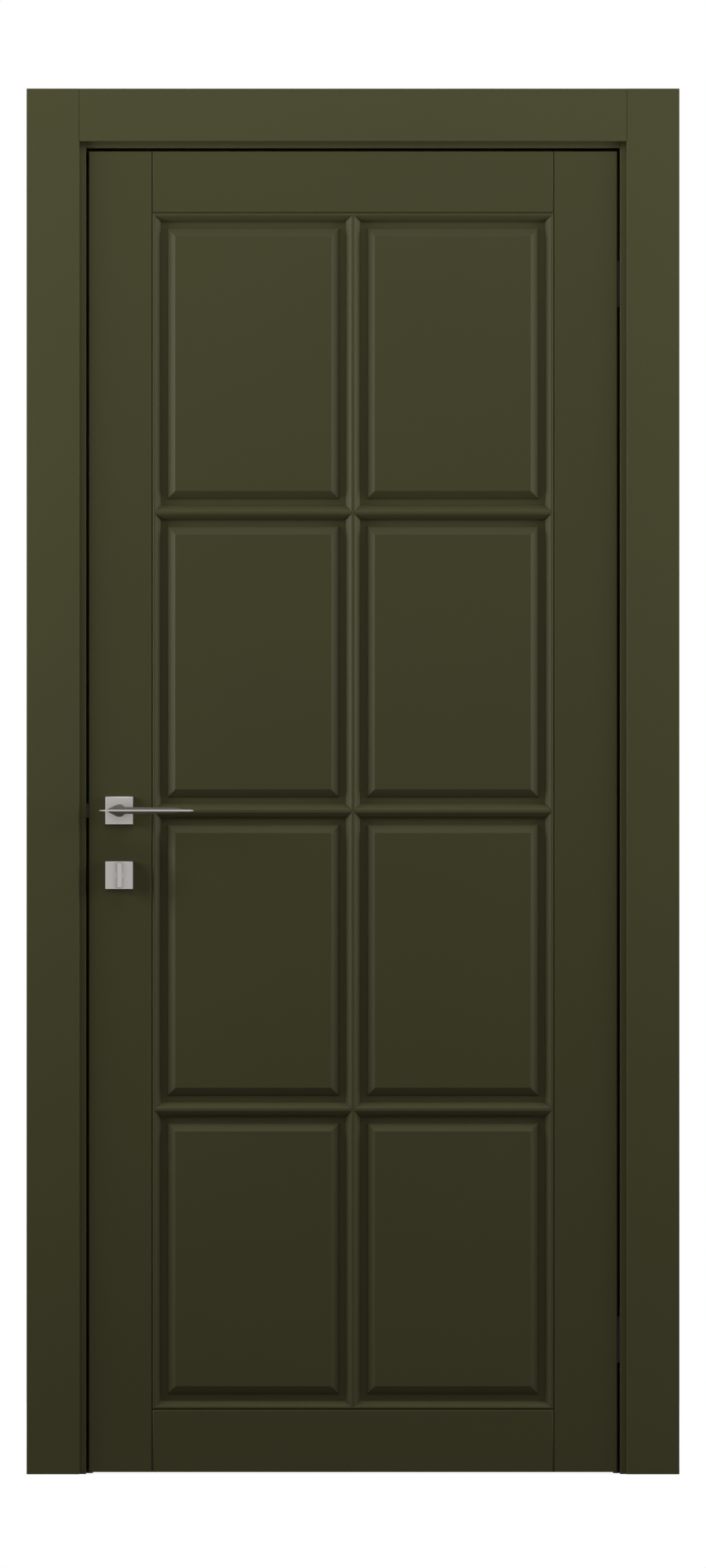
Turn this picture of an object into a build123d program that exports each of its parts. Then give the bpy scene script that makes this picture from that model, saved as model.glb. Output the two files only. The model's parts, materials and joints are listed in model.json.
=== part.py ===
from build123d import *
import math
import os

# An interior door set for a dry-built wall: a panelled leaf in a rebated frame with casings on
# both faces. X runs across the opening, Y goes into the wall, Z is up, in millimetres.
# The origin is on the finished floor, in the middle of the opening, in the leaf's front plane.

# Leaf and the gaps round it
leaf_width = 800
leaf_height = 2000
leaf_thickness = 40
side_gap = 4
top_gap = 5
floor_gap = 3

# Frame and wall
wall_thickness = 100
jamb_thickness = 40
jamb_reveal = 10
stop_projection = 10
rebate_clearance = 3
arris = 1

# Casings
casing_width = 80
casing_thickness = 10
tongue_thickness = 5
tongue_length = 15
tongue_inset = 4
groove_spare = 1

# Seal in the stop
seal_stem_thickness = 3
seal_stem_length = 6
seal_bulb_width = 8
seal_running_gap = 0.3

# Leaf framing
stile_width = 96
top_rail_height = 93
bottom_rail_height = 95
tenon_thickness = 12
tenon_length = 20
vee_depth = 2

# Glazing-bar lattice that holds the panels
panel_columns = 2
panel_rows = 4
bar_flat = 4
ovolo_width = 9
ovolo_depth = 9
ovolo_bulge = 0.6
recess_depth = 10.5
panel_groove_depth = 6
panel_play = 0.5

# Raised panels
panel_border = 10
panel_step = 1
panel_bevel_width = 12
panel_bevel_rise = 8.5

# Concealed hinges: a curved link slides in two housings and turns about the leaf's own axis
hinge_axis_forward = 4
hinge_link_radius = 28
hinge_link_thickness = 5
hinge_link_height = 70
hinge_link_half_angle = 67
hinge_channel_end_angle = 69
hinge_running_gap = 0.3
hinge_from_face = 3
hinge_body_width = 28
hinge_body_depth = 29
hinge_body_height = 110
hinge_plate_height = 170
hinge_plate_thickness = 3
hinge_screw_heights = (64, 74)
hinge_screw_offset = 5
hinge_to_leaf_end = 200

# Flat sides that stand for a round one, on small and on hidden pieces
plate_end_sides = 6
hidden_round_sides = 12
bore_sides = 24

# Wood screws
screw_head_radius = 4
screw_head_depth = 2.2
screw_shank_radius = 2
screw_length = 28
short_screw_length = 18
screw_sides = 8

# Lock
lever_height = 1002
lock_backset = 46
lock_centres = 98
lock_case_depth = 72
lock_case_thickness = 16
lock_case_wall = 1.5
lock_case_above_lever = 45
lock_case_below_turn = 29
faceplate_thickness = 3
faceplate_width = 20
faceplate_overhang = 20
faceplate_screw_inset = 9
lock_running_gap = 0.3
spindle_play = 1

# Latch bolt
latch_throw = 11
latch_height = 22
latch_width = 12
latch_tail_length = 15
latch_nose = 3
follower_radius = 9
follower_finger_reach = 17
follower_finger_width = 6
follower_finger_thickness = 4
tail_play = 0.5
tail_bar_gap = 1
tail_bar_height = 5.5
tail_lug_width = 6

# Dead bolt
bolt_throw = 15
bolt_height = 34
bolt_width = 9
bolt_body_length = 28
bolt_above_turn = 36
hub_radius = 6.5
hub_nose_radius = 3
hub_arm_width = 3.5
hub_rest_angle = 45
prong_width = 5
prong_height = 7.5

# Strike in the lock-side jamb
strike_thickness = 2
strike_width = 24
strike_end_margin = 36
strike_window_play = 1.5
strike_box_depth = 18
strike_box_wall = 1.2
strike_box_margin = 8

# Lever handle
rose_size = 42
rose_thickness = 7
rose_edge = 1.2
neck_radius = 9.5
neck_play = 0.1
lever_projection = 58
lever_depth = 22
lever_nose_height = 2.6
lever_nose_depth = 2
lever_heel_length = 29.5
lever_grip_length = 113
lever_heel_taper = 9
lever_tip_taper = 5
lever_swell_height = 18.6
lever_swell_span = (-2, 4)
lever_swell_reach = (-18, 9)
lever_body_height = 10.2
lever_body_end = 101
lever_body_taper = 19
spindle_size = 8
spindle_engagement = 22
spindle_hole_radius = 10

# Thumb turn and its release on the other side
turn_length = 39.5
turn_width = 9
turn_bevel = 1.6
turn_slope = 2.5
turn_depth = 15
turn_collar_radius = 7
turn_spindle_size = 6
turn_engagement = 8
release_radius = 10
release_proud = 2
release_slot_width = 2.5
release_slot_depth = 1.5
turn_hole_radius = 7

# Fixing holes through the frame, hidden behind the shut leaf
fixing_hole_radius = 3
fixing_from_stop = 8
fixing_above_floor = 60
fixing_below_top = 98
fixing_from_lever = 300
fixing_head_offset = 250

# Places that follow from the sizes above
half_leaf = leaf_width / 2
leaf_bottom = floor_gap
leaf_top = floor_gap + leaf_height
mid_depth = leaf_thickness / 2
rebate_x = half_leaf + side_gap
rebate_z = leaf_top + top_gap
rebate_depth = leaf_thickness + rebate_clearance
jamb_top_z = rebate_z + jamb_thickness
stop_x = rebate_x - stop_projection
stop_z = rebate_z - stop_projection
casing_inner_x = rebate_x + jamb_reveal
casing_inner_z = rebate_z + jamb_reveal
casing_outer_x = casing_inner_x + casing_width
casing_outer_z = casing_inner_z + casing_width
tongue_offset = jamb_thickness - tongue_inset - tongue_thickness
seal_offset = stop_projection / 2

lattice_width = leaf_width - 2 * stile_width
lattice_bottom = leaf_bottom + bottom_rail_height
lattice_top = leaf_top - top_rail_height
lattice_height = lattice_top - lattice_bottom
bead_width = bar_flat + ovolo_width
bar_width = bar_flat + 2 * ovolo_width
recess_width = (lattice_width - 2 * bead_width - (panel_columns - 1) * bar_width) / panel_columns
recess_height = (lattice_height - 2 * bead_width - (panel_rows - 1) * bar_width) / panel_rows
column_pitch = recess_width + bar_width
row_pitch = recess_height + bar_width

hinge_axis_x = half_leaf + side_gap / 2
hinge_axis_y = -hinge_axis_forward
hinge_mid_y = hinge_from_face + hinge_body_width / 2
hinge_heights = {
    "upper": leaf_top - hinge_to_leaf_end,
    "lower": leaf_bottom + hinge_to_leaf_end,
}

spindle_x = -half_leaf + lock_backset
lever_z = leaf_bottom + lever_height
turn_z = lever_z - lock_centres
bolt_z = turn_z + bolt_above_turn
fixing_heights = (
    fixing_above_floor,
    lever_z - fixing_from_lever,
    lever_z + fixing_from_lever,
    jamb_top_z - fixing_below_top,
)
case_front_x = -half_leaf + faceplate_thickness
case_back_x = case_front_x + lock_case_depth
case_top_z = lever_z + lock_case_above_lever
case_bottom_z = turn_z - lock_case_below_turn
case_inside = lock_case_thickness - 2 * lock_case_wall
hub_length = case_inside - 2 * lock_running_gap
bolt_crank = bolt_throw / 2 / math.cos(math.radians(hub_rest_angle))


def block(x0, x1, y0, y1, z0, z1):
    centre = Pos((x0 + x1) / 2, (y0 + y1) / 2, (z0 + z1) / 2)
    return centre * Box(abs(x1 - x0), abs(y1 - y0), abs(z1 - z0))


def upright(outline, z0, z1):
    # outline is drawn in X and Y
    return extrude(Plane.XY.offset(z0) * outline, z1 - z0)


def crosswise(outline, x0, x1):
    # outline is drawn with its first direction up (Z) and its second into the wall (Y)
    plane = Plane(origin=(x1, 0, 0), x_dir=(0, 0, 1), z_dir=(-1, 0, 0))
    return extrude(plane * outline, x1 - x0)


def through(outline, y0, y1):
    # outline is drawn in X and Z, as seen from the front
    plane = Plane(origin=(0, y1, 0), x_dir=(1, 0, 0), z_dir=(0, -1, 0))
    return extrude(plane * outline, y1 - y0)


def polygon(*points):
    return make_face(Polyline(*points, close=True))


def at_y(y):
    return Plane(origin=(0, y, 0), x_dir=(1, 0, 0), z_dir=(0, -1, 0))


def round_ended(length, width):
    # its two ends are rounded in flat steps
    radius = width / 2
    points = []
    for end in (1, -1):
        for step in range(plate_end_sides + 1):
            angle = math.pi * (step / plate_end_sides - 1 / 2)
            x = length / 2 - radius + radius * math.cos(angle)
            points.append((end * x, end * radius * math.sin(angle)))
    return polygon(*points)


def from_behind(solid, depth):
    # the same piece on the other face of something of this depth
    return mirror(solid, about=Plane.XZ.offset(-depth / 2))


def countersunk_screw(point, direction, length):
    # plain and many-sided, because the thread and the driver recess are finer than this model
    top = RegularPolygon(screw_head_radius, screw_sides)
    root = RegularPolygon(screw_shank_radius, screw_sides)
    neck = Plane.XY.offset(screw_head_depth) * root
    head = loft([top.face(), neck.face()], ruled=True)
    return Plane(origin=point, z_dir=direction) * (head + extrude(neck, length - screw_head_depth))


# Frame

def jamb_outline():
    # from the rebate's side face outwards, and from the front face into the wall
    section = polygon(
        (arris, 0),
        (jamb_thickness, 0),
        (jamb_thickness, wall_thickness),
        (arris - stop_projection, wall_thickness),
        (-stop_projection, wall_thickness - arris),
        (-stop_projection, rebate_depth + arris),
        (arris - stop_projection, rebate_depth),
        (0, rebate_depth),
        (0, arris),
    )
    groove_depth = tongue_length + groove_spare
    groove_x = tongue_offset + tongue_thickness / 2
    for groove_y in (groove_depth / 2, wall_thickness - groove_depth / 2):
        section -= Pos(groove_x, groove_y) * Rectangle(tongue_thickness, groove_depth)
    stem_y = rebate_depth + seal_stem_length / 2
    section -= Pos(-seal_offset, stem_y) * Rectangle(seal_stem_thickness, seal_stem_length)
    return section


def fixing_hole(point, direction):
    hole = Pos(0, 0, jamb_thickness / 2) * Cylinder(fixing_hole_radius, jamb_thickness)
    return Plane(origin=point, z_dir=direction) * hole


def side_jamb():
    # its stop ends under the head's stop
    jamb = upright(Pos(rebate_x, 0) * jamb_outline(), 0, jamb_top_z)
    jamb -= block(stop_x, rebate_x, rebate_depth, wall_thickness, stop_z, jamb_top_z)
    for height in fixing_heights:
        jamb -= fixing_hole((rebate_x, rebate_depth - fixing_from_stop, height), (1, 0, 0))
    return jamb


def head_jamb():
    head = crosswise(Pos(rebate_z, 0) * jamb_outline(), -rebate_x, rebate_x)
    for side in (-1, 1):
        point = (side * fixing_head_offset, rebate_depth - fixing_from_stop, rebate_z)
        head -= fixing_hole(point, (0, 0, 1))
    return head


def casing_outline():
    # from the casing's inner edge outwards; the tongue goes into the jamb's groove
    plate = polygon(
        (0, 0),
        (0, arris - casing_thickness),
        (arris, -casing_thickness),
        (casing_width - arris, -casing_thickness),
        (casing_width, arris - casing_thickness),
        (casing_width, 0),
    )
    tongue_x = tongue_offset - jamb_reveal + tongue_thickness / 2
    return plate + Pos(tongue_x, tongue_length / 2) * Rectangle(tongue_thickness, tongue_length)


def side_casing():
    casing = upright(Pos(casing_inner_x, 0) * casing_outline(), 0, casing_outer_z)
    return casing - block(casing_inner_x, casing_outer_x, 0, tongue_length, jamb_top_z, casing_outer_z)


def head_casing():
    casing = crosswise(Pos(casing_inner_z, 0) * casing_outline(), -casing_inner_x, casing_inner_x)
    for side in (-1, 1):
        casing -= block(
            side * rebate_x, side * casing_inner_x, 0, tongue_length, casing_inner_z, casing_outer_z
        )
    return casing


def seal_outline():
    left = (-seal_offset - seal_bulb_width / 2, rebate_depth)
    crown = (-seal_offset, leaf_thickness + seal_running_gap)
    right = (-seal_offset + seal_bulb_width / 2, rebate_depth)
    bulb = make_face([ThreePointArc(left, crown, right), Line(right, left)])
    stem_y = rebate_depth + seal_stem_length / 2
    return bulb + Pos(-seal_offset, stem_y) * Rectangle(seal_stem_thickness, seal_stem_length)


def side_seal():
    return upright(Pos(rebate_x, 0) * seal_outline(), 0, stop_z)


def head_seal():
    end = rebate_x - seal_offset + seal_bulb_width / 2
    return crosswise(Pos(rebate_z, 0) * seal_outline(), -end, end)


# Leaf framing

def stile():
    inner = half_leaf - stile_width
    outline = polygon(
        (inner, vee_depth),
        (inner + vee_depth, 0),
        (half_leaf - arris, 0),
        (half_leaf, arris),
        (half_leaf, leaf_thickness - arris),
        (half_leaf - arris, leaf_thickness),
        (inner + vee_depth, leaf_thickness),
        (inner, leaf_thickness - vee_depth),
    )
    board = upright(outline, leaf_bottom, leaf_top)
    for z0, z1 in rail_spans().values():
        board -= rail_tenon(inner, inner + tenon_length, z0, z1)
    return board


def rail_spans():
    return {
        "top_rail": (lattice_top, leaf_top),
        "bottom_rail": (leaf_bottom, lattice_bottom),
    }


def rail_tenon(x0, x1, z0, z1):
    half = tenon_thickness / 2
    shoulder = tenon_thickness
    return block(x0, x1, mid_depth - half, mid_depth + half, z0 + shoulder, z1 - shoulder)


def rail(z0, z1, lattice_edge):
    # chamfered towards the stiles and towards the lattice
    half = lattice_width / 2
    plan = polygon(
        (-half, vee_depth),
        (vee_depth - half, 0),
        (half - vee_depth, 0),
        (half, vee_depth),
        (half, leaf_thickness - vee_depth),
        (half - vee_depth, leaf_thickness),
        (vee_depth - half, leaf_thickness),
        (-half, leaf_thickness - vee_depth),
    )
    outer_edge = z0 + z1 - lattice_edge
    inward = math.copysign(vee_depth, outer_edge - lattice_edge)
    section = polygon(
        (outer_edge, 0),
        (lattice_edge + inward, 0),
        (lattice_edge, vee_depth),
        (lattice_edge, leaf_thickness - vee_depth),
        (lattice_edge + inward, leaf_thickness),
        (outer_edge, leaf_thickness),
    )
    board = upright(plan, z0, z1) & crosswise(section, -half, half)
    for side in (-1, 1):
        board += rail_tenon(side * half, side * (half + tenon_length), z0, z1)
    return board


# Bead and bar lattice

def ovolo(flat_end, edge, rear=False):
    # a shallow convex curve from the bar's flat down to the edge of the recess
    top, bottom = (flat_end, 0), (edge, ovolo_depth)
    if rear:
        top, bottom = (flat_end, leaf_thickness), (edge, leaf_thickness - ovolo_depth)
    length = math.dist(top, bottom)
    rise_x = ovolo_depth / length * ovolo_bulge * math.copysign(1, edge - flat_end)
    rise_y = ovolo_width / length * ovolo_bulge * (1 if rear else -1)
    middle = ((top[0] + bottom[0]) / 2 + rise_x, (top[1] + bottom[1]) / 2 + rise_y)
    return ThreePointArc(top, middle, bottom)


def bead_outline():
    # u = 0 is the joint with the stile or rail, u = bead_width the edge of the recess
    web = bead_width - panel_groove_depth
    rear = leaf_thickness
    return make_face([
        Line((0, vee_depth), (vee_depth, 0)),
        Line((vee_depth, 0), (bar_flat, 0)),
        ovolo(bar_flat, bead_width),
        Polyline(
            (bead_width, ovolo_depth),
            (bead_width, recess_depth),
            (web, recess_depth),
            (web, rear - recess_depth),
            (bead_width, rear - recess_depth),
            (bead_width, rear - ovolo_depth),
        ),
        ovolo(bar_flat, bead_width, rear=True),
        Polyline((bar_flat, rear), (vee_depth, rear), (0, rear - vee_depth), (0, vee_depth)),
    ])


def bar_face_outline():
    # the moulded front layer of a bar, down to the panel groove
    half_flat = bar_flat / 2
    half = bar_width / 2
    return make_face([
        Line((-half_flat, 0), (half_flat, 0)),
        ovolo(half_flat, half),
        Polyline((half, ovolo_depth), (half, recess_depth), (-half, recess_depth), (-half, ovolo_depth)),
        ovolo(-half_flat, -half),
    ])


def tip_outline(length):
    # a bar seen from the front: mitred tips that enter the mouldings it meets
    half = bar_width / 2
    half_flat = bar_flat / 2
    end = length / 2
    tip = end + ovolo_width
    return polygon(
        (-tip, -half_flat),
        (-end, -half),
        (end, -half),
        (tip, -half_flat),
        (tip, half_flat),
        (end, half),
        (-end, half),
        (-tip, half_flat),
    )


def crossbar(length):
    # lies along X round the origin; length is the free length between two recess edges
    reach = length / 2 + ovolo_width
    face = crosswise(bar_face_outline(), -reach, reach) & through(tip_outline(length), 0, recess_depth)
    web = bar_width / 2 - panel_groove_depth
    web_end = length / 2 + panel_groove_depth
    core = block(-web_end, web_end, recess_depth, leaf_thickness - recess_depth, -web, web)
    return face + core + from_behind(face, leaf_thickness)


def tip_socket(x, z, direction):
    # the mitred notch for a bar's tip, in the front and the rear moulding; direction is in X or Z
    half = bar_width / 2
    half_flat = bar_flat / 2
    notch = polygon((0, -half), (0, half), (ovolo_width, half_flat), (ovolo_width, -half_flat))
    angle = math.degrees(math.atan2(direction[1], direction[0]))
    front = through(Pos(x, z) * Rot(0, 0, angle) * notch, 0, recess_depth)
    return front + from_behind(front, leaf_thickness)


def row_line(index):
    # height of the bar above this row of panels
    return lattice_bottom + bead_width + (index + 1) * row_pitch - bar_width / 2


def column_line(index):
    # place of the upright bar to the right of this column of panels
    return -lattice_width / 2 + bead_width + (index + 1) * column_pitch - bar_width / 2


def mitred(outline_half_length, z0, z1):
    # plan of a bead whose ends run back at 45 degrees from its outer edge
    return polygon(
        (-outline_half_length, z0),
        (outline_half_length, z0),
        (outline_half_length - bead_width, z1),
        (bead_width - outline_half_length, z1),
    )


def level_bead(outer_z, inward):
    # bottom bead for inward = 1, top bead for inward = -1
    half = lattice_width / 2
    strip = crosswise(bead_outline(), -half, half)
    if inward < 0:
        strip = mirror(strip, about=Plane.XY)
    strip = Pos(0, 0, outer_z) * strip
    strip &= through(mitred(half, outer_z, outer_z + inward * bead_width), 0, leaf_thickness)
    for index in range(panel_columns - 1):
        strip -= tip_socket(column_line(index), outer_z + inward * bead_width, (0, -inward))
    return strip


def side_bead():
    # right-hand bead; its plan is drawn lying down and turned upright
    half = lattice_height / 2
    middle = (lattice_bottom + lattice_top) / 2
    outer_x = lattice_width / 2
    strip = mirror(upright(bead_outline(), lattice_bottom, lattice_top), about=Plane.YZ)
    strip = Pos(outer_x, 0, 0) * strip
    plan = Pos(outer_x, middle) * Rot(0, 0, 90) * mitred(half, 0, bead_width)
    strip &= through(plan, 0, leaf_thickness)
    for index in range(panel_rows - 1):
        strip -= tip_socket(outer_x - bead_width, row_line(index), (1, 0))
    return strip


def mullion(index):
    free_height = lattice_height - 2 * bead_width
    middle = (lattice_bottom + lattice_top) / 2
    bar = Pos(column_line(index), 0, middle) * Rot(0, -90, 0) * crossbar(free_height)
    for row in range(panel_rows - 1):
        for side in (-1, 1):
            bar -= tip_socket(column_line(index) + side * bar_width / 2, row_line(row), (-side, 0))
    return bar


def raised_face(width, height):
    # step and bevel that stand up from the panel's border towards the front
    base = at_y(recess_depth - panel_step) * Rectangle(width, height)
    crown_y = recess_depth - panel_step - panel_bevel_rise
    narrower = 2 * panel_bevel_width
    crown = at_y(crown_y) * Rectangle(width - narrower, height - narrower)
    bevel = loft([base.face(), crown.face()], ruled=True)
    half_w, half_h = width / 2, height / 2
    return bevel + block(-half_w, half_w, recess_depth - panel_step, mid_depth, -half_h, half_h)


def panel(column, row):
    x = -lattice_width / 2 + bead_width + column * column_pitch + recess_width / 2
    z = lattice_bottom + bead_width + row * row_pitch + recess_height / 2
    half_w = recess_width / 2 + panel_groove_depth - panel_play
    half_h = recess_height / 2 + panel_groove_depth - panel_play
    board = block(-half_w, half_w, recess_depth, leaf_thickness - recess_depth, -half_h, half_h)
    face = raised_face(recess_width - 2 * panel_border, recess_height - 2 * panel_border)
    return Pos(x, 0, z) * (board + face + from_behind(face, leaf_thickness))


# Concealed hinges

def hinge_sector(radius, thickness, height, start, end, z):
    # angles are measured from straight into the wall, towards the frame
    plane = Plane(origin=(hinge_axis_x, hinge_axis_y, z), x_dir=(1, 0, 0), z_dir=(0, -1, 0))
    section = plane * Pos(radius, 0) * Rectangle(thickness, height)
    axis = Axis((hinge_axis_x, hinge_axis_y, z), (0, 0, 1))
    return revolve(section, axis, end - start).rotate(axis, 90 - end)


def hinge_envelope(z):
    plate = round_ended(hinge_plate_height, hinge_body_width)
    plane = Plane(origin=(rebate_x, hinge_mid_y, z), x_dir=(0, 0, 1), z_dir=(1, 0, 0))
    half = hinge_body_width / 2
    body = block(
        rebate_x,
        rebate_x + hinge_body_depth,
        hinge_mid_y - half,
        hinge_mid_y + half,
        z - hinge_body_height / 2,
        z + hinge_body_height / 2,
    )
    return extrude(plane * plate, hinge_plate_thickness) + body


def hinge_screws(z):
    group = []
    for end in (-1, 1):
        for side, height in zip((-1, 1), hinge_screw_heights):
            point = (rebate_x, hinge_mid_y + side * hinge_screw_offset, z + end * height)
            group.append(countersunk_screw(point, (1, 0, 0), screw_length))
    return group


def hinge_housing(z):
    channel = hinge_sector(
        hinge_link_radius,
        hinge_link_thickness + 2 * hinge_running_gap,
        hinge_link_height + 2 * hinge_running_gap,
        0,
        hinge_channel_end_angle,
        z,
    )
    housing = hinge_envelope(z) - channel
    for screw in hinge_screws(z):
        housing -= screw
    return housing


def hinge_link(z):
    angle = hinge_link_half_angle
    return hinge_sector(hinge_link_radius, hinge_link_thickness, hinge_link_height, -angle, angle, z)


def leaf_side(solid):
    # a hinge piece of the frame, turned over to the leaf
    return mirror(solid, about=Plane.YZ.offset(hinge_axis_x))


# Lock

def case_envelope(half):
    y0, y1 = mid_depth - half, mid_depth + half
    return block(case_front_x, case_back_x, y0, y1, case_bottom_z, case_top_z)


def lock_case():
    half = lock_case_thickness / 2
    inner = case_inside / 2
    case = case_envelope(half)
    case -= block(
        case_front_x,
        case_back_x - lock_case_wall,
        mid_depth - inner,
        mid_depth + inner,
        case_bottom_z + lock_case_wall,
        case_top_z - lock_case_wall,
    )
    case -= across_leaf(spindle_x, lever_z, spindle_clear_radius(spindle_size))
    return case - across_leaf(spindle_x, turn_z, spindle_clear_radius(turn_spindle_size))


def spindle_clear_radius(size):
    return size / math.sqrt(2) + spindle_play


def across_leaf(x, z, radius):
    return through(Pos(x, z) * RegularPolygon(radius, hidden_round_sides), 0, leaf_thickness)


def faceplate_span():
    return case_bottom_z - faceplate_overhang, case_top_z + faceplate_overhang


def faceplate_envelope():
    z0, z1 = faceplate_span()
    plane = Plane(origin=(-half_leaf, mid_depth, (z0 + z1) / 2), x_dir=(0, 0, 1), z_dir=(1, 0, 0))
    return extrude(plane * round_ended(z1 - z0, faceplate_width), faceplate_thickness)


def faceplate_screws():
    z0, z1 = faceplate_span()
    places = (z0 + faceplate_screw_inset, z1 - faceplate_screw_inset)
    return [
        countersunk_screw((-half_leaf, mid_depth, z), (1, 0, 0), short_screw_length)
        for z in places
    ]


def lock_faceplate():
    gap = lock_running_gap
    plate = faceplate_envelope()
    for z, height, width in ((lever_z, latch_height, latch_width), (bolt_z, bolt_height, bolt_width)):
        plate -= block(
            -half_leaf,
            case_front_x,
            mid_depth - width / 2 - gap,
            mid_depth + width / 2 + gap,
            z - height / 2 - gap,
            z + height / 2 + gap,
        )
    for screw in faceplate_screws():
        plate -= screw
    return plate


def tail_plate(outline):
    half = follower_finger_thickness / 2
    return through(outline, mid_depth - half, mid_depth + half)


def latch_bolt():
    # the bevel faces the frame's stop, so that the shutting leaf pushes the latch in
    tip = -half_leaf - latch_throw
    rear = -half_leaf + latch_tail_length
    front_y = mid_depth - latch_width / 2
    rear_y = mid_depth + latch_width / 2
    plan = polygon(
        (rear, front_y),
        (tip, front_y),
        (tip, front_y + latch_nose),
        (-half_leaf, rear_y),
        (rear, rear_y),
    )
    head = upright(plan, lever_z - latch_height / 2, lever_z + latch_height / 2)
    bar_low = lever_z + follower_finger_reach + tail_bar_gap
    bar_high = bar_low + tail_bar_height
    lug_x = spindle_x + follower_finger_width / 2 + tail_play
    lug_low = lever_z + follower_finger_reach / 2
    tail = tail_plate(polygon(
        (rear - tail_lug_width, lever_z),
        (rear, lever_z),
        (rear, bar_low),
        (lug_x, bar_low),
        (lug_x, lug_low),
        (lug_x + tail_lug_width, lug_low),
        (lug_x + tail_lug_width, bar_high),
        (rear - tail_lug_width, bar_high),
    ))
    return head + tail


def lock_follower():
    hub = through(Pos(spindle_x, lever_z) * RegularPolygon(follower_radius, hidden_round_sides), *hub_span())
    half = follower_finger_width / 2
    finger = tail_plate(polygon(
        (spindle_x - half, lever_z),
        (spindle_x + half, lever_z),
        (spindle_x + half, lever_z + follower_finger_reach),
        (spindle_x - half, lever_z + follower_finger_reach),
    ))
    return hub + finger - lever_spindle()


def hub_span():
    return mid_depth - hub_length / 2, mid_depth + hub_length / 2


def turn_hub():
    # at rest the nose stands up and to the right, with the bolt drawn in
    hub = through(Pos(spindle_x, turn_z) * RegularPolygon(hub_radius, hidden_round_sides), *hub_span())
    arm = Pos(bolt_crank / 2, 0) * Rectangle(bolt_crank, hub_arm_width)
    arm += Pos(bolt_crank, 0) * RegularPolygon(hub_nose_radius, hidden_round_sides)
    arm = Pos(spindle_x, turn_z) * Rot(0, 0, hub_rest_angle) * arm
    return hub + tail_plate(arm) - turn_spindle_core()


def dead_bolt():
    rear = -half_leaf + bolt_body_length
    half = bolt_width / 2
    low = bolt_z - bolt_height / 2
    body = block(-half_leaf, rear, mid_depth - half, mid_depth + half, low, low + bolt_height)
    nose_x = spindle_x + bolt_throw / 2
    slot_half = hub_nose_radius + tail_play
    prong_low = turn_z + hub_radius + tail_play
    prong_high = prong_low + prong_height
    shoulder = bolt_z + tail_bar_height
    tail = tail_plate(polygon(
        (rear - prong_width, prong_high),
        (nose_x - slot_half - prong_width, prong_high),
        (nose_x - slot_half - prong_width, prong_low),
        (nose_x - slot_half, prong_low),
        (nose_x - slot_half, prong_high),
        (nose_x + slot_half, prong_high),
        (nose_x + slot_half, prong_low),
        (nose_x + slot_half + prong_width, prong_low),
        (nose_x + slot_half + prong_width, shoulder),
        (rear - prong_width, shoulder),
    ))
    return body + tail


# Strike

def strike_span():
    return bolt_z - bolt_height / 2 - strike_end_margin, lever_z + latch_height / 2 + strike_end_margin


def strike_envelope():
    z0, z1 = strike_span()
    plane = Plane(origin=(-rebate_x, mid_depth, (z0 + z1) / 2), x_dir=(0, 0, 1), z_dir=(-1, 0, 0))
    return extrude(plane * round_ended(z1 - z0, strike_width), strike_thickness)


def strike_screws():
    z0, z1 = strike_span()
    inset = strike_width / 2
    return [
        countersunk_screw((-rebate_x, mid_depth, z), (-1, 0, 0), short_screw_length)
        for z in (z0 + inset, z1 - inset)
    ]


def strike_plate():
    play = strike_window_play
    plate = strike_envelope()
    for z, height, width in ((lever_z, latch_height, latch_width), (bolt_z, bolt_height, bolt_width)):
        plate -= block(
            -rebate_x - strike_thickness,
            -rebate_x,
            mid_depth - width / 2 - play,
            mid_depth + width / 2 + play,
            z - height / 2 - play,
            z + height / 2 + play,
        )
    for screw in strike_screws():
        plate -= screw
    return plate


def strike_box_envelope(inset):
    half = latch_width / 2 + strike_window_play + strike_box_wall - inset
    return block(
        -rebate_x - strike_thickness,
        -rebate_x - strike_thickness - strike_box_depth + inset,
        mid_depth - half,
        mid_depth + half,
        bolt_z - bolt_height / 2 - strike_box_margin + inset,
        lever_z + latch_height / 2 + strike_box_margin - inset,
    )


def strike_box():
    return strike_box_envelope(0) - strike_box_envelope(strike_box_wall)


# Handles

def rose(x, z, bore_radius):
    half = rose_size / 2
    blank = block(x - half, x + half, -rose_thickness, 0, z - half, z + half)
    blank = chamfer(blank.faces().sort_by(Axis.Y)[0].edges(), rose_edge)
    # the bore's flats, not its corners, are at the radius
    bore = RegularPolygon(bore_radius, bore_sides, major_radius=False)
    return blank - through(Pos(x, z) * bore, -rose_thickness, 0)


def both_edges(upper):
    # a shape that is the same above and below its middle line; points run from the heel to the tip
    lower = [(x, -z) for x, z in reversed(upper)]
    return polygon(*upper, *lower)


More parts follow.
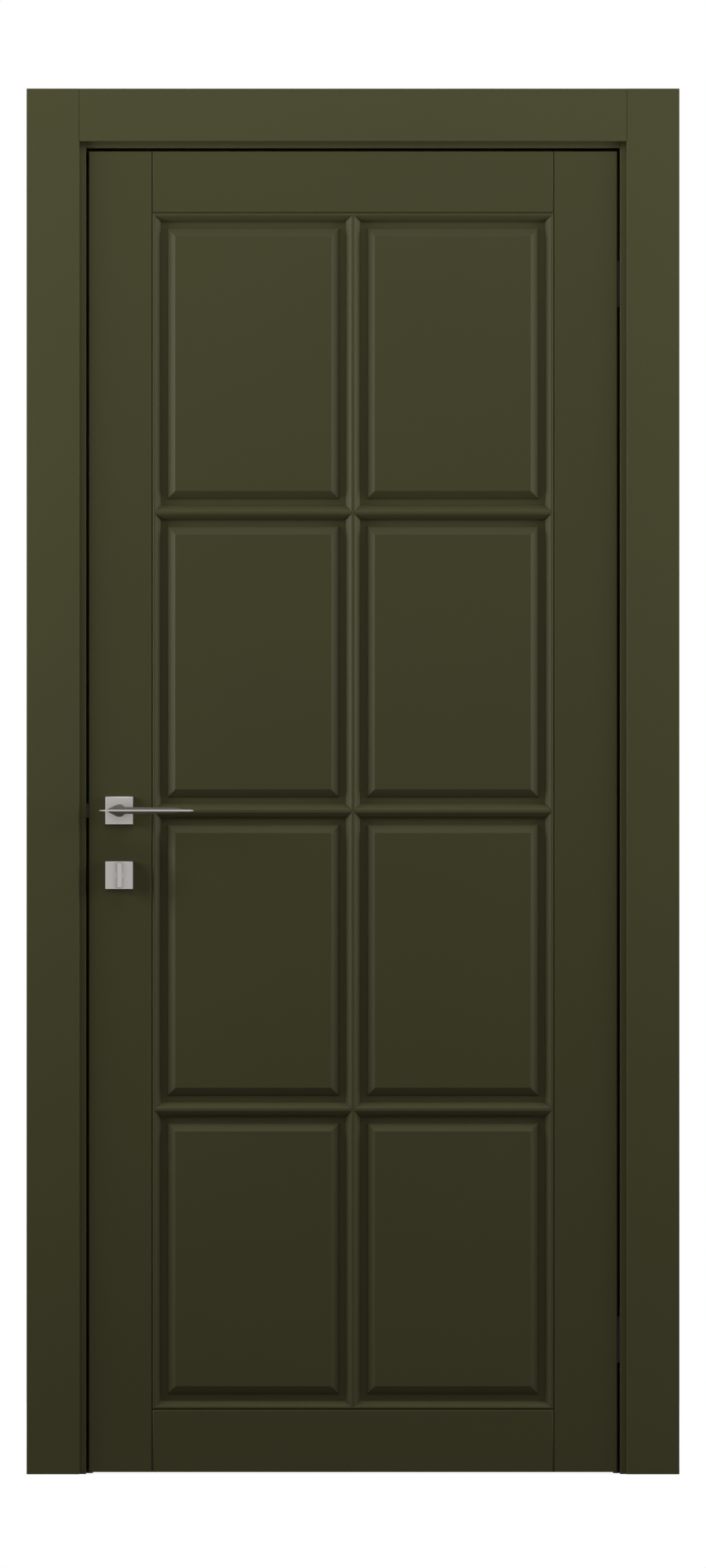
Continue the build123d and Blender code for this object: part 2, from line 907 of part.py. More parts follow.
def lever():
    # a blade with a thin nose; seen from the front it swells round the neck and tapers to both ends
    half_nose = lever_nose_height / 2
    half_body = lever_body_height / 2
    half_swell = lever_swell_height / 2
    front_y = -lever_projection
    rear_y = front_y + lever_depth
    nose_y = front_y + lever_nose_depth
    front_view = both_edges([
        (-lever_heel_length, half_nose / 4),
        (lever_heel_taper - lever_heel_length, half_nose),
        (lever_swell_reach[0], half_nose),
        (lever_swell_span[0], half_swell),
        (lever_swell_span[1], half_swell),
        (lever_swell_reach[1], half_body),
        (lever_body_end - lever_body_taper, half_body - half_nose / 2),
        (lever_body_end, half_nose),
        (lever_grip_length - lever_tip_taper, half_nose),
        (lever_grip_length, half_nose / 2),
    ])
    end_view = polygon(
        (-half_nose, front_y),
        (half_nose, front_y),
        (half_nose, nose_y),
        (half_swell, rear_y),
        (-half_swell, rear_y),
        (-half_nose, nose_y),
    )
    plan = polygon(
        (-lever_heel_length, front_y),
        (lever_grip_length, front_y),
        (lever_grip_length, nose_y),
        (lever_body_end, rear_y),
        (lever_swell_reach[0], rear_y),
        (-lever_heel_length, nose_y),
    )
    grip = through(front_view, front_y, rear_y)
    grip &= crosswise(end_view, -lever_heel_length, lever_grip_length)
    grip &= upright(plan, -half_swell, half_swell)
    neck = through(Circle(neck_radius), rear_y, -lock_running_gap)
    return Pos(spindle_x, 0, lever_z) * (grip + neck) - lever_spindle()


def lever_spindle():
    half = spindle_size / 2
    reach = lever_projection - lever_depth
    return block(
        spindle_x - half,
        spindle_x + half,
        -min(reach, spindle_engagement + rose_thickness),
        leaf_thickness + min(reach, spindle_engagement + rose_thickness),
        lever_z - half,
        lever_z + half,
    )


def thumb_turn():
    # an upright bar with one sloped flank, close in front of the rose
    rear_y = -rose_thickness - lock_running_gap
    front_y = rear_y - turn_depth
    half_l = turn_length / 2
    half_w = turn_width / 2
    plan = polygon(
        (-half_w, rear_y),
        (half_w, rear_y),
        (half_w, front_y),
        (turn_slope - half_w, front_y),
        (-half_w, front_y + turn_slope),
    )
    grip = upright(plan, -half_l, half_l)
    grip = chamfer(grip.faces().sort_by(Axis.Y)[0].edges().filter_by(Axis.X), turn_bevel)
    collar = through(Circle(turn_collar_radius), rear_y, -lock_running_gap)
    return Pos(spindle_x, 0, turn_z) * (collar + grip) - turn_spindle_core()


def turn_spindle_core():
    half = turn_spindle_size / 2
    return block(
        spindle_x - half,
        spindle_x + half,
        -rose_thickness - turn_engagement,
        leaf_thickness,
        turn_z - half,
        turn_z + half,
    )


def turn_spindle():
    # the far end is the slotted release disc in the other rose
    outer_y = leaf_thickness + rose_thickness + release_proud
    disc = through(RegularPolygon(release_radius, bore_sides), leaf_thickness, outer_y)
    slot = block(
        -release_radius,
        release_radius,
        outer_y - release_slot_depth,
        outer_y,
        -release_slot_width / 2,
        release_slot_width / 2,
    )
    disc = Pos(spindle_x, 0, turn_z) * (disc - slot)
    return disc + turn_spindle_core()


# Whole door set

def lock_side_jamb():
    jamb = mirror(side_jamb(), about=Plane.YZ) - strike_envelope() - strike_box_envelope(0)
    for screw in strike_screws():
        jamb -= screw
    return jamb


def hinge_side_jamb():
    jamb = side_jamb()
    for z in hinge_heights.values():
        jamb -= hinge_envelope(z)
        for screw in hinge_screws(z):
            jamb -= screw
    return jamb


def lock_side_stile():
    half = lock_case_thickness / 2
    board = mirror(stile(), about=Plane.YZ) - faceplate_envelope()
    board -= case_envelope(half)
    board -= across_leaf(spindle_x, lever_z, spindle_hole_radius)
    board -= across_leaf(spindle_x, turn_z, turn_hole_radius)
    for screw in faceplate_screws():
        board -= screw
    return board


def hinge_side_stile():
    board = stile()
    for z in hinge_heights.values():
        board -= leaf_side(hinge_envelope(z))
        for screw in hinge_screws(z):
            board -= leaf_side(screw)
    return board


def frame_pieces():
    pieces = {
        "jamb_lock_side": lock_side_jamb(),
        "jamb_hinge_side": hinge_side_jamb(),
        "head_jamb": head_jamb(),
        "seal_lock_side": mirror(side_seal(), about=Plane.YZ),
        "seal_hinge_side": side_seal(),
        "seal_head": head_seal(),
        "strike_plate": strike_plate(),
        "strike_box": strike_box(),
    }
    casings = {
        "left": mirror(side_casing(), about=Plane.YZ),
        "right": side_casing(),
        "head": head_casing(),
    }
    for place, casing in casings.items():
        pieces[f"casing_front_{place}"] = casing
        pieces[f"casing_back_{place}"] = from_behind(casing, wall_thickness)
    screws = strike_screws()
    for place, z in hinge_heights.items():
        pieces[f"hinge_{place}_frame_housing"] = hinge_housing(z)
        screws += hinge_screws(z)
    pieces["frame_screws"] = Compound(screws)
    return pieces


def leaf_pieces():
    pieces = {
        "stile_lock_side": lock_side_stile(),
        "stile_hinge_side": hinge_side_stile(),
        "top_rail": rail(*rail_spans()["top_rail"], lattice_top),
        "bottom_rail": rail(*rail_spans()["bottom_rail"], lattice_bottom),
        "bead_top": level_bead(lattice_top, -1),
        "bead_bottom": level_bead(lattice_bottom, 1),
        "bead_left": mirror(side_bead(), about=Plane.YZ),
        "bead_right": side_bead(),
    }
    for column in range(panel_columns - 1):
        pieces[f"mullion_{column + 1}"] = mullion(column)
    for column in range(panel_columns):
        x = -lattice_width / 2 + bead_width + column * column_pitch + recess_width / 2
        for row in range(panel_rows - 1):
            pieces[f"muntin_{column + 1}_{row + 1}"] = Pos(x, 0, row_line(row)) * crossbar(recess_width)
        for row in range(panel_rows):
            pieces[f"panel_{column + 1}_{row + 1}"] = panel(column, row)
    screws = faceplate_screws()
    for place, z in hinge_heights.items():
        pieces[f"hinge_{place}_leaf_housing"] = leaf_side(hinge_housing(z))
        screws += [leaf_side(screw) for screw in hinge_screws(z)]
    pieces["leaf_screws"] = Compound(screws)
    pieces["lock_case"] = lock_case()
    pieces["lock_faceplate"] = lock_faceplate()
    lever_rose = rose(spindle_x, lever_z, neck_radius + neck_play)
    pieces["lever_rose_front"] = lever_rose
    pieces["lever_rose_back"] = from_behind(lever_rose, leaf_thickness)
    pieces["turn_rose"] = rose(spindle_x, turn_z, turn_collar_radius + neck_play)
    release_rose = rose(spindle_x, turn_z, release_radius + neck_play)
    pieces["release_rose"] = from_behind(release_rose, leaf_thickness)
    return pieces


def moving_pieces():
    pieces = {
        "lever_front": lever(),
        "lever_back": from_behind(lever(), leaf_thickness),
        "lever_spindle": lever_spindle(),
        "lock_follower": lock_follower(),
        "thumb_turn": thumb_turn(),
        "turn_spindle": turn_spindle(),
        "turn_hub": turn_hub(),
        "latch_bolt": latch_bolt(),
        "dead_bolt": dead_bolt(),
    }
    for place, z in hinge_heights.items():
        pieces[f"hinge_{place}_link"] = hinge_link(z)
    return pieces


os.makedirs("parts", exist_ok=True)
for name, solid in {**frame_pieces(), **leaf_pieces(), **moving_pieces()}.items():
    export_step(solid, f"parts/{name}.step")
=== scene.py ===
import bpy
import bmesh
import json
import math
from mathutils import Matrix, Vector


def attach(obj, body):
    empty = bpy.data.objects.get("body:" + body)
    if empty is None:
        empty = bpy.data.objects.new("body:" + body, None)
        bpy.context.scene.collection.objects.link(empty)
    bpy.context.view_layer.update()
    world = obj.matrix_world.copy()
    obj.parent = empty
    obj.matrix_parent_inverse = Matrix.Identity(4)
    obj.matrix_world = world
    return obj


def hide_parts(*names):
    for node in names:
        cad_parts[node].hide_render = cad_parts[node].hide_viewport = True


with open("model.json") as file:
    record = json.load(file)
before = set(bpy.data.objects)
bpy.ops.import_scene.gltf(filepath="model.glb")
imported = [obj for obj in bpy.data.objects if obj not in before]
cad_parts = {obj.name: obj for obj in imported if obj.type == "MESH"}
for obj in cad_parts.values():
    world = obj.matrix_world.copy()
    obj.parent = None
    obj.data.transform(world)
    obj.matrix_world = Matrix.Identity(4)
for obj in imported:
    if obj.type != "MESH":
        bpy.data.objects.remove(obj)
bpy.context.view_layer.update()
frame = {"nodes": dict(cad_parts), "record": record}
bodyOf = {node: body for body, group in frame["record"]["behaviour"]["bodies"].items() for node in group}
slotOf = {row["node"]: row["material_slot"] for row in frame["record"]["subparts"]}
print("frame loaded:", len(bodyOf), "nodes")


# Camera, straight in front with a long lens, as the picture was taken

cameraSetup = {
    "distance": 30.0,
    "height": 1.0451,         # height of the picture's middle line
    "pictureHeight": 2.3746,  # metres that the picture shows at the leaf's face
    "sensorLongSide": 36,     # in millimetres, along the picture's height
    "nearClip": 0.5,
    "farClip": 90,
}


def makeCamera(setup):
    data = bpy.data.cameras.new("frontCamera")
    data.sensor_width = setup["sensorLongSide"]
    data.lens = setup["sensorLongSide"] * setup["distance"] / setup["pictureHeight"]
    data.clip_start = setup["nearClip"]
    data.clip_end = setup["farClip"]
    camera = bpy.data.objects.new("frontCamera", data)
    camera.location = (0, -setup["distance"], setup["height"])
    camera.rotation_euler = (math.pi / 2, 0, 0)
    bpy.context.scene.collection.objects.link(camera)
    bpy.context.scene.camera = camera


makeCamera(cameraSetup)
print("camera placed")


# Light, pale floor and white surroundings

lampSetup = {
    # place, where it points, width and height in metres, watts, whether it lights the handles
    "ceilingPanel": ((0.0, -1.4, 3.8), (0, 0, 1.5), 2.4, 1.6, 18, True),
    "headPanel": ((0.0, -1.2, 3.1), (0, 0, 1.6), 1.8, 1.0, 10, True),
    "leftPanel": ((-2.2, -0.55, 1.6), (0, 0, 2.0), 1.0, 1.2, 44, False),
    "rightPanel": ((2.2, -0.55, 1.6), (0, 0, 2.0), 1.0, 1.2, 36, False),
    "backPanel": ((0.5, 2.3, 3.0), (0, 0, 1.0), 2.2, 1.4, 80, True),
}
floorSetup = {
    "colour": (0.22, 0.22, 0.215),
    "size": 7.0,
    "drop": 0.0004,          # below the frame's feet, so that no two faces share a plane
    "glow": 0.90,            # lifts the floor to white for the camera, and leaves its shadow
    "glowRise": (0.8, 2.4),  # distances between which it rises to full white, so that no edge shows
}


def makeLamp(name, place, aim, width, height, watts):
    data = bpy.data.lights.new(name, "AREA")
    data.shape = "RECTANGLE"
    data.size = width
    data.size_y = height
    data.energy = watts
    lamp = bpy.data.objects.new(name, data)
    lamp.location = place
    lamp.rotation_euler = (Vector(aim) - Vector(place)).to_track_quat("-Z", "Y").to_euler()
    lamp.visible_camera = False
    bpy.context.scene.collection.objects.link(lamp)


def seenDirectly(nodes, links):
    # 1 for what the camera sees straight, in a mirror or through glass, and 0 for light on the object
    path = nodes.new("ShaderNodeLightPath")
    total = path.outputs["Is Camera Ray"]
    for ray in ("Is Glossy Ray", "Is Transmission Ray"):
        either = nodes.new("ShaderNodeMath")
        either.operation = "MAXIMUM"
        links.new(total, either.inputs[0])
        links.new(path.outputs[ray], either.inputs[1])
        total = either.outputs[0]
    return total


def makeWorld():
    # white to look at, while the lamps alone light the object
    world = bpy.data.worlds.new("softWhiteRoom")
    bpy.context.scene.world = world
    world.use_nodes = True
    nodes, links = world.node_tree.nodes, world.node_tree.links
    nodes.clear()
    white = nodes.new("ShaderNodeBackground")
    white.inputs["Color"].default_value = (1, 1, 1, 1)
    links.new(seenDirectly(nodes, links), white.inputs["Strength"])
    output = nodes.new("ShaderNodeOutputWorld")
    links.new(white.outputs[0], output.inputs["Surface"])


def makeFloor(setup):
    half = setup["size"] / 2
    corners = [(-half, -half), (half, -half), (half, half), (-half, half)]
    mesh = bpy.data.meshes.new("floor")
    mesh.from_pydata([(x, y, -setup["drop"]) for x, y in corners], [], [(0, 1, 2, 3)])
    floor = bpy.data.objects.new("floor", mesh)
    bpy.context.scene.collection.objects.link(floor)
    material = bpy.data.materials.new("paleFloor")
    material.use_nodes = True
    nodes, links = material.node_tree.nodes, material.node_tree.links
    nodes.clear()
    matt = nodes.new("ShaderNodeBsdfDiffuse")
    matt.inputs["Color"].default_value = (*setup["colour"], 1)
    place = nodes.new("ShaderNodeTexCoord")
    away = nodes.new("ShaderNodeVectorMath")
    away.operation = "LENGTH"
    links.new(place.outputs["Object"], away.inputs[0])
    rise = nodes.new("ShaderNodeMapRange")
    rise.inputs["From Min"].default_value, rise.inputs["From Max"].default_value = setup["glowRise"]
    rise.inputs["To Min"].default_value = setup["glow"]
    rise.inputs["To Max"].default_value = 1.0
    links.new(away.outputs["Value"], rise.inputs["Value"])
    amount = nodes.new("ShaderNodeMath")
    amount.operation = "MULTIPLY"
    links.new(seenDirectly(nodes, links), amount.inputs[0])
    links.new(rise.outputs["Result"], amount.inputs[1])
    glow = nodes.new("ShaderNodeEmission")
    links.new(amount.outputs[0], glow.inputs["Strength"])
    both = nodes.new("ShaderNodeAddShader")
    links.new(matt.outputs[0], both.inputs[0])
    links.new(glow.outputs[0], both.inputs[1])
    output = nodes.new("ShaderNodeOutputMaterial")
    links.new(both.outputs[0], output.inputs["Surface"])
    mesh.materials.append(material)


bpy.context.scene.view_settings.view_transform = "Standard"
for lampName, lampValues in lampSetup.items():
    makeLamp(lampName, *lampValues[:-1])
makeWorld()
makeFloor(floorSetup)
print("light, floor and surroundings made")


# Finishes

noiseSpan = (0.3, 0.7)       # nearly all values of Blender's noise lie between these


def startMaterial(name):
    material = bpy.data.materials.new(name)
    material.use_nodes = True
    nodes, links = material.node_tree.nodes, material.node_tree.links
    nodes.clear()
    shader = nodes.new("ShaderNodeBsdfPrincipled")
    output = nodes.new("ShaderNodeOutputMaterial")
    links.new(shader.outputs[0], output.inputs["Surface"])
    place = nodes.new("ShaderNodeTexCoord")
    return material, nodes, links, shader, place.outputs["Object"]


def stretched(nodes, links, place, scale):
    mapping = nodes.new("ShaderNodeMapping")
    mapping.inputs["Scale"].default_value = scale
    links.new(place, mapping.inputs["Vector"])
    return mapping.outputs[0]


def noise(nodes, links, place, size, detail):
    texture = nodes.new("ShaderNodeTexNoise")
    texture.inputs["Scale"].default_value = 1 / size
    texture.inputs["Detail"].default_value = detail
    links.new(place, texture.inputs["Vector"])
    return texture.outputs["Fac"]


def spread(nodes, links, value, low, high):
    # turns noise into a value between low and high
    ranged = nodes.new("ShaderNodeMapRange")
    ranged.inputs["From Min"].default_value, ranged.inputs["From Max"].default_value = noiseSpan
    ranged.inputs["To Min"].default_value = low
    ranged.inputs["To Max"].default_value = high
    links.new(value, ranged.inputs["Value"])
    return ranged.outputs["Result"]


def tinted(nodes, links, value, darker, lighter):
    mix = nodes.new("ShaderNodeMix")
    mix.data_type = "RGBA"
    mix.inputs["A"].default_value = (*darker, 1)
    mix.inputs["B"].default_value = (*lighter, 1)
    links.new(value, mix.inputs["Factor"])
    return mix.outputs["Result"]


def bumped(nodes, links, shader, height, depth):
    bump = nodes.new("ShaderNodeBump")
    bump.inputs["Strength"].default_value = 1
    bump.inputs["Distance"].default_value = depth
    links.new(height, bump.inputs["Height"])
    links.new(bump.outputs["Normal"], shader.inputs["Normal"])


olivePaint = {
    "leaf": (0.0640, 0.0620, 0.0250),
    "frame": (0.0725, 0.0705, 0.0290),
    "wander": 0.05,          # share by which the colour drifts over a board
    "driftSize": 0.35,
    "stippleSize": 0.0016,   # roller stipple
    "stippleDepth": 0.00002,
    "roughness": (0.50, 0.58),
    "specular": 0.14,
}


def paintMaterial(name, colour, setup):
    material, nodes, links, shader, place = startMaterial(name)
    drift = noise(nodes, links, place, setup["driftSize"], detail=3)
    stipple = noise(nodes, links, place, setup["stippleSize"], detail=2)
    darker = [part * (1 - setup["wander"]) for part in colour]
    lighter = [part * (1 + setup["wander"]) for part in colour]
    links.new(tinted(nodes, links, drift, darker, lighter), shader.inputs["Base Color"])
    links.new(spread(nodes, links, stipple, *setup["roughness"]), shader.inputs["Roughness"])
    shader.inputs["Specular IOR Level"].default_value = setup["specular"]
    bumped(nodes, links, shader, stipple, setup["stippleDepth"])
    return material


satinNickel = {
    "darker": (0.420, 0.398, 0.372),
    "lighter": (0.480, 0.456, 0.428),
    "lineSize": 0.00035,     # width of a brushing line
    "lineRun": 40,           # times longer than wide
    "lineDepth": 0.000004,
    "roughness": (0.26, 0.36),
}
mattNickel = {
    **satinNickel,
    "darker": (0.440, 0.415, 0.400),
    "lighter": (0.500, 0.474, 0.456),
    "roughness": (0.42, 0.52),
}


def brushedMaterial(name, setup, along):
    # along is the direction of the brushing lines: 0, 1 or 2 for X, Y or Z
    material, nodes, links, shader, place = startMaterial(name)
    scale = [1.0, 1.0, 1.0]
    scale[along] = 1 / setup["lineRun"]
    lines = noise(nodes, links, stretched(nodes, links, place, scale), setup["lineSize"], detail=2)
    links.new(tinted(nodes, links, lines, setup["darker"], setup["lighter"]), shader.inputs["Base Color"])
    links.new(spread(nodes, links, lines, *setup["roughness"]), shader.inputs["Roughness"])
    shader.inputs["Metallic"].default_value = 1
    bumped(nodes, links, shader, lines, setup["lineDepth"])
    return material


zincPlating = {
    "darker": (0.42, 0.43, 0.45),
    "lighter": (0.56, 0.57, 0.58),
    "roughness": (0.28, 0.44),
    "grainSize": 0.0022,
    "grainDepth": 0.000006,
    "metallic": 1,
}
softSeal = {
    "darker": (0.038, 0.037, 0.025),
    "lighter": (0.052, 0.051, 0.035),
    "roughness": (0.62, 0.78),
    "grainSize": 0.0008,
    "grainDepth": 0.00003,
    "metallic": 0,
}
blackPlastic = {
    "darker": (0.018, 0.018, 0.018),
    "lighter": (0.030, 0.030, 0.030),
    "roughness": (0.42, 0.56),
    "grainSize": 0.0006,
    "grainDepth": 0.00001,
    "metallic": 0,
}
blackCoating = {
    "darker": (0.014, 0.014, 0.014),
    "lighter": (0.024, 0.024, 0.024),
    "roughness": (0.40, 0.52),
    "grainSize": 0.0005,
    "grainDepth": 0.000012,
    "metallic": 0,
}


def grainedMaterial(name, setup):
    material, nodes, links, shader, place = startMaterial(name)
    grain = noise(nodes, links, place, setup["grainSize"], detail=3)
    links.new(tinted(nodes, links, grain, setup["darker"], setup["lighter"]), shader.inputs["Base Color"])
    links.new(spread(nodes, links, grain, *setup["roughness"]), shader.inputs["Roughness"])
    shader.inputs["Metallic"].default_value = setup["metallic"]
    bumped(nodes, links, shader, grain, setup["grainDepth"])
    return material


finishes = {
    "frame_paint": paintMaterial("oliveFramePaint", olivePaint["frame"], olivePaint),
    "leaf_paint": paintMaterial("oliveLeafPaint", olivePaint["leaf"], olivePaint),
    "seal_rubber": grainedMaterial("softOliveSeal", softSeal),
    "plate_metal": brushedMaterial("satinPlate", satinNickel, 2),
    "box_plastic": grainedMaterial("blackBoxPlastic", blackPlastic),
    "zinc_steel": grainedMaterial("zincPlatedSteel", zincPlating),
    "hinge_metal": grainedMaterial("blackHingeCoating", blackCoating),
    "latch_coating": grainedMaterial("blackLatchCoating", blackCoating),
    "handle_nickel": brushedMaterial("mattNickelHandle", mattNickel, 0),
    "bolt_metal": brushedMaterial("satinBolt", satinNickel, 0),
}
print("finishes made:", len(finishes))


# Softened copies: the same boards and plates with their arrises eased, as paint and tumbling leave them

easedEdges = {
    # material slot: width of the eased edge in metres, steps across it
    "frame_paint": (0.0006, 2),
    "leaf_paint": (0.0006, 2),
    "plate_metal": (0.0004, 2),
    "hinge_metal": (0.0004, 2),
    "handle_nickel": (0.0004, 3),
    "bolt_metal": (0.0005, 2),
    "latch_coating": (0.0005, 2),
}
easeAngle = math.radians(25)      # edges flatter than this belong to a curve
shortestEased = 0.004             # shorter edges are left sharp
roundProfile = 0.5                # of an eased edge, where 1 would be square
mergeDistance = 2e-6              # joins the loose triangles' corners
flatAngle = math.radians(0.3)     # triangles that meet flatter than this become one face
curveAngle = math.radians(38)     # faces that meet flatter than this are shaded as a curve
flatFaceWeight = 90               # how far the large faces decide the shading at their edges


def pieceName(node):
    first, *rest = node.split("_")
    return first + "".join(word.capitalize() for word in rest)


def easedCopy(node):
    width, steps = easedEdges[slotOf[node]]
    form = bmesh.new()
    form.from_mesh(frame["nodes"][node].data)
    bmesh.ops.remove_doubles(form, verts=form.verts, dist=mergeDistance)
    bmesh.ops.dissolve_limit(form, angle_limit=flatAngle, verts=form.verts, edges=form.edges)
    sharp = [
        edge for edge in form.edges
        if len(edge.link_faces) == 2
        and edge.calc_face_angle(0) > easeAngle
        and edge.is_convex
        and edge.calc_length() > shortestEased
    ]
    bmesh.ops.bevel(form, geom=sharp, offset=width, offset_type="OFFSET", segments=steps,
                    profile=roundProfile, affect="EDGES", clamp_overlap=True)
    mesh = bpy.data.meshes.new(pieceName(node))
    form.to_mesh(mesh)
    form.free()
    return mesh


def finishedMesh(holder):
    # the holder's mesh with its modifiers worked in, in place of the one it began with
    begun = holder.data
    graph = bpy.context.evaluated_depsgraph_get()
    done = bpy.data.meshes.new_from_object(holder.evaluated_get(graph), depsgraph=graph)
    bpy.data.objects.remove(holder)
    bpy.data.meshes.remove(begun)
    return done


def smoothed(mesh):
    mesh.shade_smooth()
    mesh.set_sharp_from_angle(angle=curveAngle)
    holder = bpy.data.objects.new("holder", mesh)
    bpy.context.scene.collection.objects.link(holder)
    weighted = holder.modifiers.new("flatFaces", "WEIGHTED_NORMAL")
    weighted.keep_sharp = True
    weighted.weight = flatFaceWeight
    return finishedMesh(holder)


def addPiece(name, mesh, nodes, body, slotName):
    # a finished piece at the origin that stands for these CAD nodes
    mesh.name = name
    mesh.materials.clear()
    mesh.materials.append(finishes[slotName])
    piece = bpy.data.objects.new(name, mesh)
    bpy.context.scene.collection.objects.link(piece)
    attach(piece, body)
    if nodes:
        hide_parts(*nodes)
    return piece


screwNodes = {"frame_screws": "frameScrews", "leaf_screws": "leafScrews"}  # made further down
handlePieces = []
for node, slotName in slotOf.items():
    if slotName in easedEdges:
        piece = addPiece(pieceName(node), smoothed(easedCopy(node)), [node], bodyOf[node], slotName)
        if slotName == "handle_nickel":
            handlePieces.append(piece)
    elif node not in screwNodes:
        shown = frame["nodes"][node].data
        shown.materials.clear()
        shown.materials.append(finishes[slotName])
print("boards, mouldings and plates eased")


def keepLightOff(lampName, pieces):
    # the side panels would draw hard bright lines on the bevels of the handles' metal
    group = bpy.data.collections.new(lampName + "Receivers")
    bpy.data.objects[lampName].light_linking.receiver_collection = group
    for piece in pieces:
        group.objects.link(piece)
    for member in group.collection_objects:
        member.light_linking.link_state = "EXCLUDE"


for lampName, lampValues in lampSetup.items():
    if not lampValues[-1]:
        keepLightOff(lampName, handlePieces)


# Screws, repeated with Geometry Nodes at the places where the frame has its plain ones

woodScrew = {
    "Head Radius": 0.00405,
    "Head Depth": 0.0022,
    "Shank Radius": 0.0019,
    "Shank Length": 0.0255,
    "Thread Pitch": 0.0022,
    "Recess Length": 0.0041,
    "Recess Width": 0.0009,
    "Recess Depth": 0.0013,
}
headProud = 0.00012          # so that the round head covers its pocket
headSides = 28
shankSides = 14
threadDepth = 0.28           # share of the shank's radius
tipStart = 0.12              # share of the shank's radius at its very tip
tipGrowth = 260.0            # share of it that each metre from the tip adds
turnStep = 1.1               # radians from one screw's cross to the next one's
screwCurveAngle = math.radians(35)
samePlane = 1e-5             # corners this close along the screw belong to one end of it


class treeMaker:
    # short ways to add nodes and links to one node tree
    def __init__(self, name, sizes):
        self.tree = bpy.data.node_groups.new(name, "GeometryNodeTree")
        self.identifiers = {}
        self.addSocket("Geometry", "Geometry")
        for size, value in sizes.items():
            self.addSocket(size, "Float").default_value = value
        self.addSocket("Material", "Material")
        self.addSocket("Geometry", "Geometry", "OUTPUT")
        self.given = self.tree.nodes.new("NodeGroupInput").outputs

    def addSocket(self, name, kind, side="INPUT"):
        socket = self.tree.interface.new_socket(name=name, in_out=side, socket_type="NodeSocket" + kind)
        self.identifiers.setdefault(name, socket.identifier)
        return socket

    def add(self, kind, inputs=None, **settings):
        node = self.tree.nodes.new(kind)
        for setting, value in settings.items():
            setattr(node, setting, value)
        for socket, value in (inputs or {}).items():
            if isinstance(value, bpy.types.NodeSocket):
                self.tree.links.new(value, node.inputs[socket])
            else:
                node.inputs[socket].default_value = value
        return node

    def math(self, operation, *values):
        return self.add("ShaderNodeMath", dict(enumerate(values)), operation=operation).outputs[0]

    def vector(self, x=0.0, y=0.0, z=0.0):
        return self.add("ShaderNodeCombineXYZ", {"X": x, "Y": y, "Z": z}).outputs[0]

    def raised(self, geometry, height):
        return self.add("GeometryNodeTransform", {
            "Geometry": geometry, "Translation": self.vector(z=height),
        }).outputs[0]

    def joined(self, shapes):
        together = self.add("GeometryNodeJoinGeometry")
        for shape in shapes:
            self.tree.links.new(shape, together.inputs[0])
        return together.outputs[0]

    def cutFrom(self, shape, cutter):
        cut = self.add("GeometryNodeMeshBoolean", {"Mesh 1": shape}, operation="DIFFERENCE", solver="EXACT")
        self.tree.links.new(cutter, cut.inputs["Mesh 2"])
        return cut.outputs["Mesh"]

    def repeatAtPoints(self, shape):
        # each point carries its turn as an attribute; the end is a plain mesh with its material
        turn = self.add("GeometryNodeInputNamedAttribute", {"Name": "turn"}, data_type="FLOAT_VECTOR")
        copies = self.add("GeometryNodeInstanceOnPoints", {
            "Points": self.given["Geometry"], "Instance": shape, "Rotation": turn.outputs[0],
        }).outputs[0]
        plain = self.add("GeometryNodeRealizeInstances", {"Geometry": copies}).outputs[0]
        painted = self.add("GeometryNodeSetMaterial", {
            "Geometry": plain, "Material": self.given["Material"],
        }).outputs[0]
        self.add("NodeGroupOutput", {"Geometry": painted})


def woodScrewTree(sizes):
    # the screw stands along Z with its head's face at 0
    maker = treeMaker("woodScrew", sizes)
    given = maker.given
    headDown = maker.math("MULTIPLY", given["Head Depth"], -1.0)
    head = maker.add("GeometryNodeMeshCone", {
        "Vertices": headSides, "Radius Top": given["Head Radius"], "Radius Bottom": given["Shank Radius"],
        "Depth": given["Head Depth"],
    }).outputs["Mesh"]
    cross = []
    for along in ("X", "Y"):
        size = {"X": given["Recess Width"], "Y": given["Recess Width"], "Z": given["Recess Depth"]}
        size[along] = given["Recess Length"]
        box = maker.add("ShaderNodeCombineXYZ", size).outputs[0]
        cross.append(maker.add("GeometryNodeMeshCube", {"Size": box}).outputs["Mesh"])
    head = maker.cutFrom(maker.raised(head, headDown), maker.joined(cross))

    halfPitch = maker.math("MULTIPLY", given["Thread Pitch"], 0.5)
    rings = maker.math("ROUND", maker.math("DIVIDE", given["Shank Length"], halfPitch))
    shank = maker.add("GeometryNodeMeshCylinder", {
        "Vertices": shankSides, "Side Segments": rings, "Radius": given["Shank Radius"],
        "Depth": given["Shank Length"],
    }).outputs["Mesh"]
    place = maker.add("GeometryNodeInputPosition").outputs[0]
    height = maker.add("ShaderNodeSeparateXYZ", {0: place}).outputs["Z"]
    fromTip = maker.math("ADD", height, maker.math("MULTIPLY", given["Shank Length"], 0.5))
    crest = maker.math("DIVIDE", maker.math("PINGPONG", fromTip, halfPitch), halfPitch)
    thread = maker.math("MULTIPLY_ADD", crest, threadDepth, 1 - threadDepth)
    taper = maker.math("MINIMUM", 1.0, maker.math("MULTIPLY_ADD", fromTip, tipGrowth, tipStart))
    width = maker.math("MULTIPLY", thread, taper)
    scaled = maker.add("ShaderNodeVectorMath", {
        0: place, 1: maker.vector(width, width, 1.0),
    }, operation="MULTIPLY").outputs[0]
    shank = maker.add("GeometryNodeSetPosition", {"Geometry": shank, "Position": scaled}).outputs[0]
    shank = maker.raised(shank, maker.math("MULTIPLY_ADD", given["Shank Length"], -0.5, headDown))
    maker.repeatAtPoints(maker.joined([head, shank]))
    return maker


